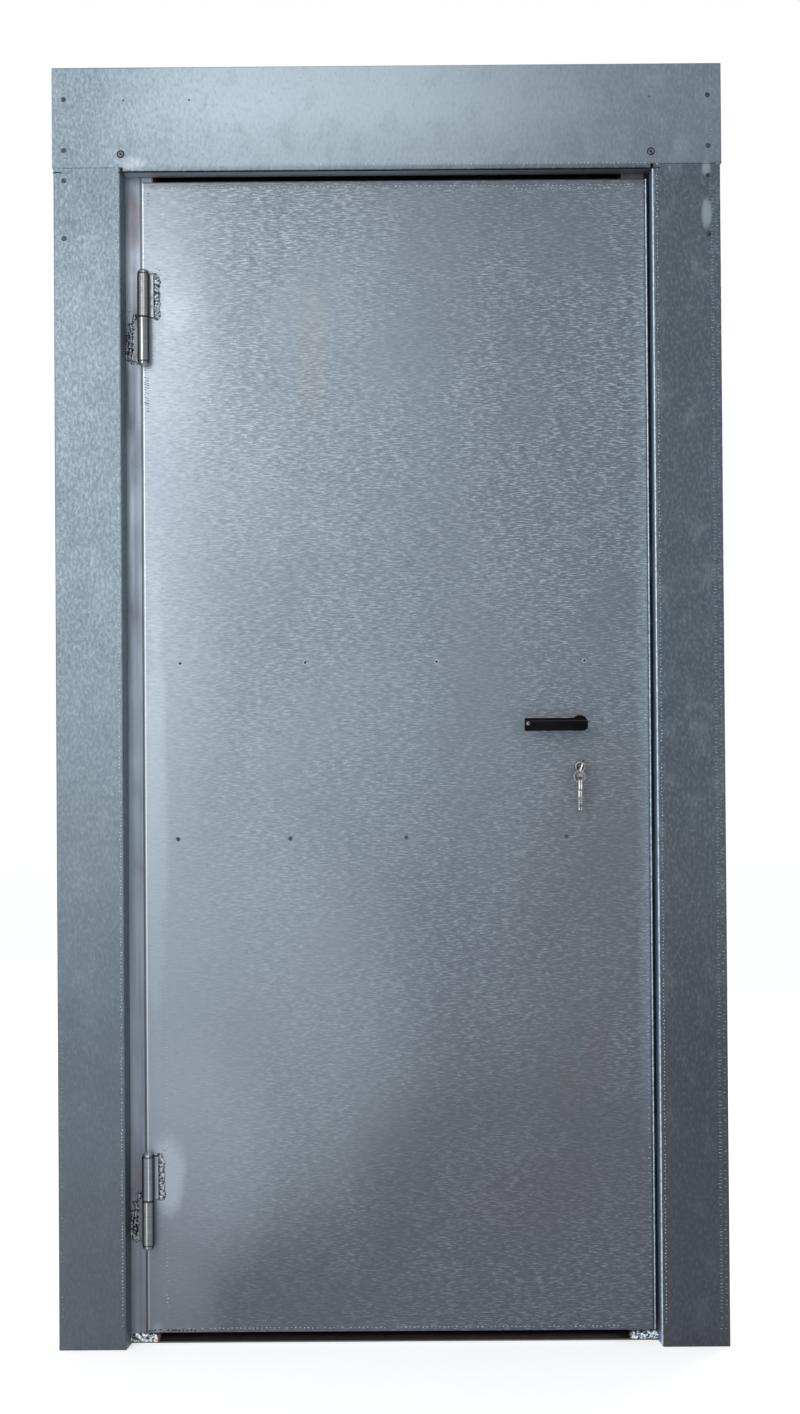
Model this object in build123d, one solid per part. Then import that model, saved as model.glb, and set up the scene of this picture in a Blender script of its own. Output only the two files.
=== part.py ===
from build123d import *
from math import cos, radians, sin
import os

# Steel security door set for a wall opening: a folded frame and casings, a single
# sheet leaf on a tube framework, two lift-off barrel hinges, a mortice lock with
# levers and a profile cylinder with its keys.
# Millimetres. X runs to the viewer's right, Y into the wall, Z up. The origin is the
# centre of the threshold's underside, half way through the depth of the stiles.

# Frame stiles, standing each side of the clear opening
clear_width = 780.0
stile_width = 60.0
stile_depth = 50.0
stile_wall = 3.0
stile_corner = 3.0
stile_above_rail = 15.0

# Casings, folded from thin galvanised sheet
opening_margin = 50.0
casing_face = 110.0
casing_depth = 40.0
casing_sheet = 1.5
casing_fold = 2.5
return_splay = 4.0
wall_lip = 15.0
stile_lip = 9.0
jamb_height = 1943.0
seam_gap = 1.0
head_face = 166.0
head_drop = 7.0
head_overhang = 2.0
head_end_gap = 1.0
head_lip = 48.0
gusset_width = 96.0
gusset_inset = 6.0
gusset_reach = 140.0
gusset_sheet = 2.0

# Head rail and threshold, angle sections between the stiles
rail_sheet = 3.0
stop_lap = 15.0
threshold_sheet = 3.0
threshold_stop = 25.0

# Leaf sheet
leaf_hinge_lap = 18.5
leaf_lock_lap = 39.0
leaf_bottom = 20.0
leaf_top_gap = 10.0
leaf_sheet = 2.0
leaf_rim = 7.0
leaf_seat_gap = 5.0
leaf_fold = 3.0
leaf_corner = 4.0

# Leaf framework of steel tube
tube_width = 40.0
tube_depth = 40.0
tube_wall = 2.0
tube_corner = 4.0
tube_side_gap = 8.0
tube_end_inset = 12.0
tube_top_inset = 20.0
rail_depth = 25.0
rail_to_lock_case = 62.5
stiffener_x = -128.0

# Lift-off barrel hinges
hinge_length = 160.0
hinge_radius = 10.0
hinge_from_top = 228.0
hinge_from_bottom = 220.0
hinge_leaf_gap = 2.0
hinge_edge_inset = 4.0
hinge_pin_radius = 5.0
hinge_pin_gap = 0.06
hinge_pin_reach = 45.0
hinge_pin_seat = 40.0
hinge_bore_spare = 5.0
washer_thickness = 1.5
washer_radius = 9.0
washer_gap = 0.3
plate_thickness = 5.0
leaf_plate_width = 16.0
frame_plate_width = 12.0
frame_web = 4.0
frame_plate_thickness = 5.0
plate_chamfer = 6.0
pin_chamfer = 1.5
dome_height = 8.0
dome_inset = 0.3
dome_shoulder_radius = 8.6
dome_shoulder_drop = 3.0
dome_tip_radius = 4.5
dome_sides = 24

# Lock, levers and cylinder
lock_backset = 69.0
spindle_z = 1022.5
cylinder_drop = 72.0
lock_plane_y = -12.0
case_height = 166.0
case_top_above_spindle = 40.0
case_thickness = 16.0
case_back = 28.0
case_slot_gap = 0.5
case_corner = 4.0
faceplate_thickness = 3.0
faceplate_width = 22.0
faceplate_height = 196.0
bolt_gap = 0.3
latch_height = 20.0
latch_width = 12.0
latch_length = 34.0
latch_above_spindle = 14.0
latch_bevel = 9.0
dead_bolt_height = 34.0
dead_bolt_length = 44.0
dead_bolt_above_cylinder = 30.0
dead_bolt_edge = 1.0
bolt_setback = 0.5
strike_width = 24.0
strike_height = 180.0
strike_thickness = 3.0
strike_gap = 1.0
strike_rim = 3.0
pocket_width = 74.0
pocket_clearance = 17.0
pocket_sheet = 2.0
spindle_side = 8.0
spindle_bore = 6.2
sheet_spindle_hole = 10.0
lever_length = 103.0
lever_tail = 9.5
lever_height = 21.0
lever_drop = 2.0
lever_thickness = 12.0
lever_reach = 50.0
lever_corner = 8.0
lever_edge = 2.0
neck_radius = 8.0
neck_gap = 0.3
rose_radius = 13.0
rose_thickness = 8.0
cylinder_radius = 8.5
cylinder_height = 33.0
cylinder_web = 10.0
cylinder_front = 9.0
cylinder_back = 8.0
cylinder_hole_gap = 0.4
plug_radius = 6.5
plug_gap = 0.05
plug_length = 30.0
plug_proud = 0.4
plug_end_gap = 1.0
key_thickness = 2.2
key_blade_width = 8.0
key_blade_depth = 24.0
key_slot_gap = 0.05
bow_radius = 12.0
bow_hole_radius = 4.5
bow_hole_offset = 4.0
bow_standoff = 2.0
key_tilt = 20.0
spare_blade_length = 30.0
ring_radius = 9.2
ring_wire = 0.8
ring_flat = 0.7
ring_rest_gap = 0.5
spare_key_pitch = 3.4
key_cut_pitch = 3.8
key_cut_depths = (1.6, 2.6, 1.2, 2.2, 1.8)
key_cut_flat = 0.8
key_cut_slope = 1.3
key_cuts_from_tip = 4.0

# Wall fixings through the stiles
fixing_radius = 5.5
fixing_pitch = 500.0
lower_fixings_z = 500.0
upper_fixings_z = 1500.0

# Spare length on shapes used for cutting
cut_over = 1.0

# Positions that follow from the sizes above
clear_x = clear_width / 2
stile_x = clear_x + stile_width / 2
stile_face_y = -stile_depth / 2
stile_back_y = stile_depth / 2
opening_x = clear_x + opening_margin
casing_x = opening_x + casing_face
casing_front_y = stile_face_y - casing_depth
head_bottom = jamb_height + seam_gap
head_top = head_bottom + head_face
soffit_z = head_bottom - head_drop
head_x = casing_x + head_overhang
leaf_left = -clear_x - leaf_hinge_lap
leaf_right = clear_x + leaf_lock_lap
leaf_top = soffit_z - leaf_top_gap
leaf_front_y = stile_face_y - leaf_seat_gap - leaf_rim
sheet_back_y = leaf_front_y + leaf_sheet
tube_back_y = sheet_back_y + tube_depth
tube_x = clear_x - tube_side_gap
tube_inner_x = tube_x - tube_width
tube_bottom = leaf_bottom + tube_end_inset
tube_top = leaf_top - tube_top_inset
spindle_x = tube_x - lock_backset
head_rail_top = soffit_z + head_lip
stile_height = head_rail_top + stile_above_rail
hinge_joint_high = leaf_top - hinge_from_top
hinge_joint_low = leaf_bottom + hinge_from_bottom
hinge_x = leaf_left + hinge_edge_inset
hinge_y = leaf_front_y - hinge_leaf_gap - hinge_radius
cylinder_z = spindle_z - cylinder_drop
case_top = spindle_z + case_top_above_spindle
case_middle_z = case_top - case_height / 2
case_left = spindle_x - case_back
case_right = tube_x - faceplate_thickness
latch_z = spindle_z + latch_above_spindle
dead_bolt_z = cylinder_z + dead_bolt_above_cylinder
pocket_left = tube_inner_x - pocket_width
pocket_top = case_top + pocket_clearance
pocket_height = case_height + 2 * pocket_clearance
upper_rail_z = case_top + rail_to_lock_case
lower_rail_z = case_top - case_height - rail_to_lock_case
cylinder_front_y = leaf_front_y - cylinder_front
cylinder_back_y = tube_back_y + cylinder_back
plug_face_y = cylinder_front_y - plug_proud
bow_centre_y = plug_face_y - bow_standoff - bow_radius
ring_hang = bow_hole_offset + bow_hole_radius - ring_wire - ring_rest_gap
ring_x = spindle_x - ring_hang * sin(radians(key_tilt))
ring_z = cylinder_z - ring_hang * cos(radians(key_tilt)) - ring_radius
spare_hole_z = ring_z - ring_radius - bow_hole_radius + ring_wire + ring_rest_gap


def block(x0, x1, y0, y1, z0, z1):
    """Rectangular block between two corners."""
    size = (x1 - x0, y1 - y0, z1 - z0)
    middle = ((x0 + x1) / 2, (y0 + y1) / 2, (z0 + z1) / 2)
    return Pos(*middle) * Box(*size)


def cylinder_along_y(x, z, radius, y0, y1):
    return Pos(x, (y0 + y1) / 2, z) * Rot(90, 0, 0) * Cylinder(radius, y1 - y0)


def upright(profile, z0, z1):
    """Extrude a plan outline, drawn in X and Y, from one height to another."""
    return Pos(0, 0, z0) * extrude(profile, z1 - z0, dir=(0, 0, 1))


def folded(points, sheet, fold):
    """Section of a sheet folded along the given outer corners, thickened to their right."""
    path = FilletPolyline(*points, radius=fold)
    return make_face(offset(path, amount=sheet, side=Side.RIGHT, closed=True).edges())


def tube_section(width, depth, wall, corner):
    return RectangleRounded(width, depth, corner) - Rectangle(width - 2 * wall, depth - 2 * wall)


def euro_profile(gap=0.0):
    """Front outline of a profile cylinder, its round end at the origin."""
    foot = -cylinder_height + cylinder_radius
    web = cylinder_web / 2
    outline = Circle(cylinder_radius + gap)
    outline += Pos(0, foot / 2) * Rectangle(2 * (web + gap), -foot)
    outline += Pos(0, foot + web) * Circle(web + gap)
    return outline


def profile_along_y(profile, x, z, y0, y1):
    """Extrude an outline drawn in X and Z from one depth to another."""
    return Pos(x, y1, z) * Rot(90, 0, 0) * extrude(profile, y1 - y0, dir=(0, 0, 1))


def jamb_casing(side):
    """Folded casing that covers a stile and the wall beside it; side is -1 or 1."""
    points = [
        (-opening_x - stile_lip, stile_face_y),
        (-opening_x + return_splay, stile_face_y),
        (-opening_x, casing_front_y),
        (-casing_x, casing_front_y),
        (-casing_x, stile_face_y),
        (-casing_x + wall_lip, stile_face_y),
    ]
    casing = upright(folded(points, casing_sheet, casing_fold), 0, jamb_height)
    return casing if side < 0 else mirror(casing, Plane.YZ)


def head_casing():
    """Folded head casing, with its soffit dropped between the jamb casings."""
    soffit_x = opening_x - return_splay - head_end_gap
    middle = [
        (stile_face_y, soffit_z + head_lip),
        (stile_face_y, soffit_z),
        (casing_front_y, soffit_z),
        (casing_front_y, head_top),
        (stile_face_y, head_top),
        (stile_face_y, head_top - wall_lip),
    ]
    over_jamb = [
        (casing_front_y, head_bottom),
        (casing_front_y, head_top),
        (stile_face_y, head_top),
        (stile_face_y, head_top - wall_lip),
    ]

    def run(points, x0, x1):
        section = folded(points, casing_sheet, casing_fold)
        return Pos(x0, 0, 0) * extrude(Plane.YZ * section, x1 - x0, dir=(1, 0, 0))

    casing = run(middle, -soffit_x, soffit_x)
    for side in (-1, 1):
        x0, x1 = sorted((side * soffit_x, side * head_x))
        casing += run(over_jamb, x0, x1)
        inner = head_x - casing_sheet
        x0, x1 = sorted((side * inner, side * head_x))
        top = head_top - casing_fold
        casing += block(x0, x1, casing_front_y + casing_sheet, stile_face_y, head_bottom, top)
    return casing


def corner_gusset(side):
    """Flat plate behind a head corner, screwed to both casings."""
    outer = casing_x - gusset_inset
    x0, x1 = sorted((side * outer, side * (outer - gusset_width)))
    y0 = casing_front_y + casing_sheet
    z0, z1 = head_bottom - gusset_reach, head_bottom + gusset_reach
    return block(x0, x1, y0, y0 + gusset_sheet, z0, z1)


def stile(side):
    section = tube_section(stile_width, stile_depth, stile_wall, stile_corner)
    post = Pos(side * stile_x, 0, 0) * upright(section, 0, stile_height)
    for pair_z in (lower_fixings_z, upper_fixings_z):
        for z in (pair_z - fixing_pitch / 2, pair_z + fixing_pitch / 2):
            drill = Rot(0, 90, 0) * Cylinder(fixing_radius, stile_width + 2 * cut_over)
            post -= Pos(side * stile_x, 0, z) * drill
    if side > 0:
        post -= strike_blank()
    return post


def strike_blank():
    """Room for the strike plate in the lock stile's inner wall."""
    middle_y = lock_plane_y + strike_width / 2 - latch_width / 2 - strike_gap - strike_rim
    middle_z = (latch_z + dead_bolt_z) / 2
    return block(
        clear_x,
        clear_x + strike_thickness,
        middle_y - strike_width / 2,
        middle_y + strike_width / 2,
        middle_z - strike_height / 2,
        middle_z + strike_height / 2,
    )


def bolt_shape(z, height, x0, x1, gap):
    half = latch_width / 2 + gap
    rise = height / 2 + gap
    return block(x0, x1, lock_plane_y - half, lock_plane_y + half, z - rise, z + rise)


def strike_plate():
    plate = strike_blank()
    for z, height in ((latch_z, latch_height), (dead_bolt_z, dead_bolt_height)):
        x1 = clear_x + strike_thickness + cut_over
        plate -= bolt_shape(z, height, clear_x - cut_over, x1, strike_gap)
    return plate


def head_rail():
    """Angle across the head: a stop behind the leaf's top and a shelf to the casing."""
    stop = block(
        -clear_x, clear_x, stile_back_y - rail_sheet, stile_back_y, tube_top - stop_lap, head_rail_top
    )
    shelf = block(
        -clear_x, clear_x, stile_face_y, stile_back_y, head_rail_top - rail_sheet, head_rail_top
    )
    return stop + shelf


def threshold():
    plate = block(-clear_x, clear_x, stile_face_y, stile_back_y, 0, threshold_sheet)
    stop = block(-clear_x, clear_x, stile_back_y - threshold_sheet, stile_back_y, 0, threshold_stop)
    return plate + stop


def domed_barrel(flat_z, tip_z):
    """Solid barrel of a hinge, flat at one end and domed at the other."""
    way = 1 if tip_z > flat_z else -1
    base_z = tip_z - way * dome_height
    barrel = Pos(0, 0, (flat_z + base_z) / 2) * Cylinder(hinge_radius, abs(base_z - flat_z))
    rings = (
        (base_z, hinge_radius - dome_inset),
        (tip_z - way * dome_shoulder_drop, dome_shoulder_radius),
        (tip_z, dome_tip_radius),
    )
    dome = loft([Pos(0, 0, z) * RegularPolygon(r, dome_sides) for z, r in rings], ruled=True)
    return Pos(hinge_x, hinge_y, 0) * (barrel + dome)


def hinge_socket(joint_z):
    """Frame half of a hinge: barrel, cranked web and foot plate on the stile."""
    top = joint_z - washer_thickness / 2
    bottom = joint_z - hinge_length / 2
    barrel = domed_barrel(top, bottom)
    web_left = hinge_x - hinge_radius
    web = block(web_left, web_left + frame_web, hinge_y, stile_face_y, bottom + dome_height, top)
    foot_left = web_left + frame_web - frame_plate_width
    foot = block(
        foot_left,
        web_left + frame_web,
        stile_face_y - frame_plate_thickness,
        stile_face_y,
        bottom + dome_height,
        top,
    )
    corner = foot.edges().filter_by(Axis.Y).sort_by(Axis.X)[:2].sort_by(Axis.Z)[0]
    foot = chamfer(corner, plate_chamfer)
    socket = barrel + web + foot
    depth = hinge_pin_seat
    return socket - Pos(hinge_x, hinge_y, top - depth / 2) * Cylinder(hinge_pin_radius, depth)


def hinge_pin(joint_z):
    bottom = joint_z - washer_thickness / 2 - hinge_pin_seat
    top = joint_z + hinge_pin_reach
    pin = Pos(hinge_x, hinge_y, (top + bottom) / 2) * Cylinder(hinge_pin_radius, top - bottom)
    return chamfer(pin.edges().filter_by(GeomType.CIRCLE).sort_by(Axis.Z)[-1], pin_chamfer)


def hinge_washer(joint_z):
    ring = Cylinder(washer_radius, washer_thickness) - Cylinder(
        hinge_pin_radius + hinge_pin_gap, washer_thickness
    )
    return Pos(hinge_x, hinge_y, joint_z) * ring


def hinge_knuckle(joint_z):
    """Leaf half of a hinge: domed barrel with a flat plate on the leaf's face."""
    bottom = joint_z + washer_thickness / 2 + washer_gap
    top = joint_z + hinge_length / 2
    barrel = domed_barrel(bottom, top)
    plate = block(
        hinge_x,
        hinge_x + leaf_plate_width,
        leaf_front_y - plate_thickness,
        leaf_front_y,
        bottom,
        top - dome_height,
    )
    knuckle = barrel + plate
    depth = hinge_pin_reach + hinge_bore_spare
    bore = Cylinder(hinge_pin_radius + hinge_pin_gap, depth)
    return knuckle - Pos(hinge_x, hinge_y, bottom + depth / 2) * bore


def leaf_tray():
    """Front sheet of the leaf with its four edges folded back."""
    rim_y = leaf_front_y + leaf_rim
    outer = block(leaf_left, leaf_right, leaf_front_y, rim_y, leaf_bottom, leaf_top)
    outer = fillet(outer.edges().filter_by(Axis.Y), leaf_corner)
    outer = fillet(outer.faces().sort_by(Axis.Y)[0].edges(), leaf_fold)
    t = leaf_sheet
    tray = outer - block(
        leaf_left + t,
        leaf_right - t,
        sheet_back_y,
        rim_y + cut_over,
        leaf_bottom + t,
        leaf_top - t,
    )
    y0, y1 = leaf_front_y - cut_over, sheet_back_y + cut_over
    tray -= cylinder_along_y(spindle_x, spindle_z, sheet_spindle_hole, y0, y1)
    hole = euro_profile(cylinder_hole_gap)
    return tray - profile_along_y(hole, spindle_x, cylinder_z, y0, y1)


def leaf_post(side):
    """Upright tube of the leaf; the lock side is cut for the lock case and faceplate."""
    section = tube_section(tube_width, tube_depth, tube_wall, tube_corner)
    x = side * (tube_x - tube_width / 2)
    y = sheet_back_y + tube_depth / 2
    post = Pos(x, y, 0) * upright(section, tube_bottom, tube_top)
    if side > 0:
        gap = case_slot_gap
        half = case_thickness / 2 + gap
        post -= block(
            tube_inner_x - cut_over,
            tube_inner_x + tube_wall + cut_over,
            lock_plane_y - half,
            lock_plane_y + half,
            case_top - case_height - gap,
            case_top + gap,
        )
        post -= faceplate_blank()
    return post


def cross_tube(z, depth, x0, x1):
    """Level tube of the leaf, its back wall set by its depth."""
    section = tube_section(tube_width, depth, tube_wall, tube_corner)
    bar = extrude(section, x1 - x0, dir=(0, 0, 1))
    return Pos(x0, sheet_back_y + depth / 2, z) * Rot(0, 90, 0) * bar


def leaf_stiffener():
    section = tube_section(tube_width, rail_depth, tube_wall, tube_corner)
    bottom = upper_rail_z + tube_width / 2
    top = tube_top - tube_width
    return Pos(stiffener_x, sheet_back_y + rail_depth / 2, 0) * upright(section, bottom, top)


def faceplate_blank():
    middle = case_middle_z
    return block(
        case_right,
        tube_x,
        lock_plane_y - faceplate_width / 2,
        lock_plane_y + faceplate_width / 2,
        middle - faceplate_height / 2,
        middle + faceplate_height / 2,
    )


def lock_faceplate():
    plate = faceplate_blank()
    for z, height in ((latch_z, latch_height), (dead_bolt_z, dead_bolt_height)):
        plate -= bolt_shape(z, height, case_right - cut_over, tube_x + cut_over, bolt_gap)
    return plate


def lock_case():
    """Mortice case with its follower hole, cylinder hole and bolt channels."""
    half = case_thickness / 2
    y0, y1 = lock_plane_y - half, lock_plane_y + half
    case = block(case_left, case_right, y0, y1, case_top - case_height, case_top)
    case = fillet(case.edges().filter_by(Axis.Y).sort_by(Axis.X)[:2], case_corner)
    y0, y1 = y0 - cut_over, y1 + cut_over
    case -= cylinder_along_y(spindle_x, spindle_z, spindle_bore, y0, y1)
    case -= profile_along_y(euro_profile(cylinder_hole_gap), spindle_x, cylinder_z, y0, y1)
    nose_x = tube_x - bolt_setback
    case -= bolt_shape(latch_z, latch_height, nose_x - latch_length, tube_x, bolt_gap)
    case -= bolt_shape(dead_bolt_z, dead_bolt_height, nose_x - dead_bolt_length, tube_x, bolt_gap)
    return case


def latch_bolt():
    x1 = tube_x - bolt_setback
    bolt = bolt_shape(latch_z, latch_height, x1 - latch_length, x1, 0)
    nose = bolt.edges().filter_by(Axis.Z).sort_by(Axis.X)[-2:].sort_by(Axis.Y)[-1]
    return chamfer(nose, latch_bevel)


def dead_bolt():
    x1 = tube_x - bolt_setback
    bolt = bolt_shape(dead_bolt_z, dead_bolt_height, x1 - dead_bolt_length, x1, 0)
    return chamfer(bolt.faces().sort_by(Axis.X)[-1].edges(), dead_bolt_edge)


def lock_pocket():
    """Folded box behind the leaf sheet that shields the lock case."""
    bottom = pocket_top - pocket_height
    t = pocket_sheet
    box = block(pocket_left, tube_inner_x, sheet_back_y, tube_back_y, bottom, pocket_top)
    box = fillet(box.edges().filter_by(Axis.Z).sort_by(Axis.X)[:2].sort_by(Axis.Y)[-1], tube_corner)
    box -= block(
        pocket_left + t,
        tube_inner_x + cut_over,
        sheet_back_y - cut_over,
        tube_back_y - t,
        bottom + t,
        pocket_top - t,
    )
    y0, y1 = tube_back_y - t - cut_over, tube_back_y + cut_over
    box -= cylinder_along_y(spindle_x, spindle_z, sheet_spindle_hole, y0, y1)
    hole = euro_profile(cylinder_hole_gap)
    return box - profile_along_y(hole, spindle_x, cylinder_z, y0, y1)


def rose(y0, y1):
    ring = cylinder_along_y(spindle_x, spindle_z, rose_radius, y0, y1)
    y0, y1 = y0 - cut_over, y1 + cut_over
    return ring - cylinder_along_y(spindle_x, spindle_z, neck_radius + neck_gap, y0, y1)


def lever(outside):
    """Straight lever on a round neck, modelled for the outside and turned for the inside."""
    face_y = leaf_front_y if outside else tube_back_y
    way = -1 if outside else 1
    tip_x = spindle_x + lever_tail - lever_length
    z0 = spindle_z - lever_drop - lever_height / 2
    near = face_y + way * (lever_reach - lever_thickness / 2)
    far = face_y + way * (lever_reach + lever_thickness / 2)
    y0, y1 = sorted((near, far))
    bar = block(tip_x, spindle_x + lever_tail, y0, y1, z0, z0 + lever_height)
    bar = fillet(bar.edges().filter_by(Axis.Y).sort_by(Axis.X)[-2:], lever_corner)
    outer_face = bar.faces().sort_by(Axis.Y)[0 if outside else -1]
    bar = chamfer(outer_face.edges(), lever_edge)
    y0, y1 = sorted((face_y + way * neck_gap, near + way * lever_edge))
    neck = cylinder_along_y(spindle_x, spindle_z, neck_radius, y0, y1)
    grip = bar + neck
    half = spindle_side / 2
    y0, y1 = sorted((face_y, near))
    x0, x1 = spindle_x - half, spindle_x + half
    return grip - block(x0, x1, y0, y1, spindle_z - half, spindle_z + half)


def spindle():
    half = spindle_side / 2
    reach = lever_reach - lever_thickness / 2
    return block(
        spindle_x - half,
        spindle_x + half,
        leaf_front_y - reach,
        tube_back_y + reach,
        spindle_z - half,
        spindle_z + half,
    )


def cylinder_body():
    """Profile cylinder through the leaf, bored from the outside for its plug."""
    body = profile_along_y(euro_profile(), spindle_x, cylinder_z, cylinder_front_y, cylinder_back_y)
    y1 = cylinder_front_y + plug_length
    y0 = cylinder_front_y - cut_over
    return body - cylinder_along_y(spindle_x, cylinder_z, plug_radius, y0, y1)


def key_cut(depth):
    """Bitting notch in a blade's edge, drawn at the edge's own height."""
    foot = key_cut_flat / 2
    mouth = foot + key_cut_slope
    return make_face(Polyline((-mouth, 0), (-foot, -depth), (foot, -depth), (mouth, 0), close=True))


def key_blank(blade_length):
    """Flat key with its bow at the origin, lying in X and Z with the blade along +X."""
    bow = Circle(bow_radius)
    bow -= Pos(0, -bow_hole_offset) * Circle(bow_hole_radius)
    blade = Pos(bow_radius / 2 + blade_length / 2, 0) * Rectangle(
        blade_length + bow_radius, key_blade_width
    )
    flat = bow + blade - Pos(0, -bow_hole_offset) * Circle(bow_hole_radius)
    first_cut_x = bow_radius + blade_length - key_cuts_from_tip
    for number, depth in enumerate(key_cut_depths):
        x = first_cut_x - number * key_cut_pitch
        flat -= Pos(x, key_blade_width / 2) * key_cut(depth)
    return extrude(Plane.XZ * flat, key_thickness / 2, both=True)


def to_lock(shape):
    """Turn a key drawn along +X so that its blade runs into the cylinder."""
    return Pos(spindle_x, bow_centre_y, cylinder_z) * Rot(0, key_tilt, 0) * Rot(0, 0, 90) * shape


def key():
    return to_lock(key_blank(key_blade_depth + bow_standoff + plug_proud))


def key_plug():
    y0 = plug_face_y
    y1 = cylinder_front_y + plug_length - plug_end_gap
    plug = cylinder_along_y(spindle_x, cylinder_z, plug_radius - plug_gap, y0, y1)
    length = key_blade_depth + bow_radius + bow_standoff + plug_proud
    gap = key_slot_gap
    slot = Box(length + gap, key_thickness + 2 * gap, key_blade_width + 2 * gap)
    return plug - to_lock(Pos(length / 2, 0, 0) * slot)


def key_ring():
    """Flat ring that joins the keys; its hanging point is the middle of its wire."""
    wire = Pos(ring_radius, 0) * Rectangle(2 * ring_flat, 2 * ring_wire)
    ring = revolve(Plane.XZ * wire, Axis.Z)
    return Pos(ring_x, bow_centre_y, ring_z) * Rot(90, 0, 0) * ring


def spare_key(side):
    """Key hanging edge-on from the foot of the ring."""
    blank = key_blank(spare_blade_length)
    hung = Rot(0, 90, 0) * Rot(90, 0, 0) * Pos(0, 0, bow_hole_offset) * blank
    return Pos(ring_x + side * spare_key_pitch / 2, bow_centre_y, spare_hole_z) * hung


PARTS = {
    "left_jamb_casing": jamb_casing(-1),
    "right_jamb_casing": jamb_casing(1),
    "head_casing": head_casing(),
    "left_corner_gusset": corner_gusset(-1),
    "right_corner_gusset": corner_gusset(1),
    "hinge_stile": stile(-1),
    "lock_stile": stile(1),
    "head_rail": head_rail(),
    "threshold": threshold(),
    "strike_plate": strike_plate(),
    "leaf_sheet": leaf_tray(),
    "leaf_hinge_tube": leaf_post(-1),
    "leaf_lock_tube": leaf_post(1),
    "leaf_top_tube": cross_tube(tube_top - tube_width / 2, tube_depth, -tube_inner_x, tube_inner_x),
    "leaf_bottom_tube": cross_tube(tube_bottom + tube_width / 2, tube_depth, -tube_inner_x, tube_inner_x),
    "leaf_upper_rail": cross_tube(upper_rail_z, rail_depth, -tube_inner_x, tube_inner_x),
    "leaf_lower_rail": cross_tube(lower_rail_z, rail_depth, -tube_inner_x, tube_inner_x),
    "leaf_stiffener": leaf_stiffener(),
    "lock_pocket": lock_pocket(),
    "lock_case": lock_case(),
    "lock_faceplate": lock_faceplate(),
    "latch_bolt": latch_bolt(),
    "dead_bolt": dead_bolt(),
    "cylinder_body": cylinder_body(),
    "outside_rose": rose(leaf_front_y - rose_thickness, leaf_front_y),
    "inside_rose": rose(tube_back_y, tube_back_y + rose_thickness),
    "outside_lever": lever(True),
    "inside_lever": lever(False),
    "spindle": spindle(),
    "key_plug": key_plug(),
    "key": key(),
    "key_ring": key_ring(),
    "spare_key_left": spare_key(-1),
    "spare_key_right": spare_key(1),
}
for place, joint_z in (("upper", hinge_joint_high), ("lower", hinge_joint_low)):
    PARTS[place + "_hinge_socket"] = hinge_socket(joint_z)
    PARTS[place + "_hinge_pin"] = hinge_pin(joint_z)
    PARTS[place + "_hinge_washer"] = hinge_washer(joint_z)
    PARTS[place + "_hinge_knuckle"] = hinge_knuckle(joint_z)

os.makedirs("parts", exist_ok=True)
for name, shape in PARTS.items():
    export_step(shape, "parts/" + name + ".step")
    print(name, round(shape.volume), len(shape.solids()))
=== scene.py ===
import math

import bmesh
import bpy
from mathutils import Matrix, Vector


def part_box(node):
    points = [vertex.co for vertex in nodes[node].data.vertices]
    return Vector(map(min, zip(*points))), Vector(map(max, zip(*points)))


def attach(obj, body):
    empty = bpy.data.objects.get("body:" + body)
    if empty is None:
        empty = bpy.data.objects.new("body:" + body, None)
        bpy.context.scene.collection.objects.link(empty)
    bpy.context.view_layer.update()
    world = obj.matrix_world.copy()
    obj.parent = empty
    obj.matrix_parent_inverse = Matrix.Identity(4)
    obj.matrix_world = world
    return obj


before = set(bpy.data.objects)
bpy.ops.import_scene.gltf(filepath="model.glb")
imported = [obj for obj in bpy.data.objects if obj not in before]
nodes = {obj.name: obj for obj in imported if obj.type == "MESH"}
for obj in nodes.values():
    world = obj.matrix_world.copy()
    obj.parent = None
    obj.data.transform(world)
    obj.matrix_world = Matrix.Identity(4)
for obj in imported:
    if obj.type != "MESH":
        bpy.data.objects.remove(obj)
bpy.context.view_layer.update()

# Lengths are in metres, as in the frame; MM turns millimetres into them.
MM = 0.001

# Photograph: its frame in pixels and the camera that took it
PHOTO_WIDTH = 800
FOCAL_PIXELS = 2105
SENSOR_WIDTH = 36.0
CAMERA_PLACE = Vector((25.0, -3525.0, 1010.1)) * MM
CAMERA_YAW = math.radians(-0.150)
CAMERA_PITCH = math.radians(0.675)
CAMERA_ROLL = math.radians(0.402)


def srgb(r, g, b):
    """Linear colour, with full alpha, for an sRGB colour given in 0 to 255."""

    def linear(c):
        c /= 255.0
        return c / 12.92 if c <= 0.04045 else ((c + 0.055) / 1.055) ** 2.4

    return (linear(r), linear(g), linear(b), 1.0)


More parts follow.
